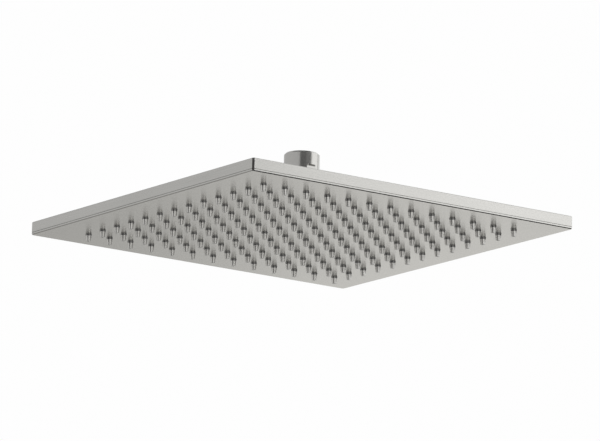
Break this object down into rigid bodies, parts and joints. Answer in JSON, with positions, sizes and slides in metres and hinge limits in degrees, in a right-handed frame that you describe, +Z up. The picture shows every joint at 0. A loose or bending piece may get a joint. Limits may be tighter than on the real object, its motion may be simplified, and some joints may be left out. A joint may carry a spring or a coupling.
{
  "type": "rain shower head",
  "caption": "Flat square rain shower head: a satin metal box with a grid of tapered silicone nozzles below, hung from a ball swivel with a threaded inlet collar.",
  "frame": {"origin": "centre of the inlet's mouth, where the threaded hole meets the top of the collar", "axes": "+Z up along the inlet, X and Y along the sides of the square head"},
  "size_m": [0.3, 0.3, 0.0674],
  "materials": {
    "satin_nickel": "satin nickel, brushed along the sides",
    "satin_nickel_brass": "brass with a satin nickel coat",
    "plain_brass": "plain turned brass",
    "bare_steel": "plain stainless steel",
    "grey_silicone": "smooth moulded silicone",
    "black_rubber": "matt rubber",
    "white_acetal": "smooth turned plastic"
  },
  "bodies": {
    "inlet": {"ball_stem": "satin_nickel_brass", "inlet_washer": "black_rubber", "filter_screen": "bare_steel"},
    "seal": {"ball_seal": "black_rubber"},
    "ring": {"friction_ring": "white_acetal"},
    "head": {"cap_nut": "satin_nickel_brass", "hub": "satin_nickel_brass", "hub_gasket": "black_rubber", "lock_nut": "plain_brass", "upper_shell": "satin_nickel", "face_plate": "satin_nickel", "nozzle_mat": "grey_silicone", "rim_seal": "black_rubber", "tie_posts": "bare_steel"}
  },
  "joints": [
    {"name": "swivel_turn", "type": "hinge", "parent": "inlet", "child": "seal", "pos_m": [0, 0, -0.03829], "axis": [0, 0, 1], "continuous": true},
    {"name": "tilt_about_x", "type": "hinge", "parent": "seal", "child": "ring", "pos_m": [0, 0, -0.03829], "axis": [1, 0, 0], "range_deg": [-10, 10]},
    {"name": "tilt_about_y", "type": "hinge", "parent": "ring", "child": "head", "pos_m": [0, 0, -0.03829], "axis": [0, 1, 0], "range_deg": [-10, 10]}
  ]
}
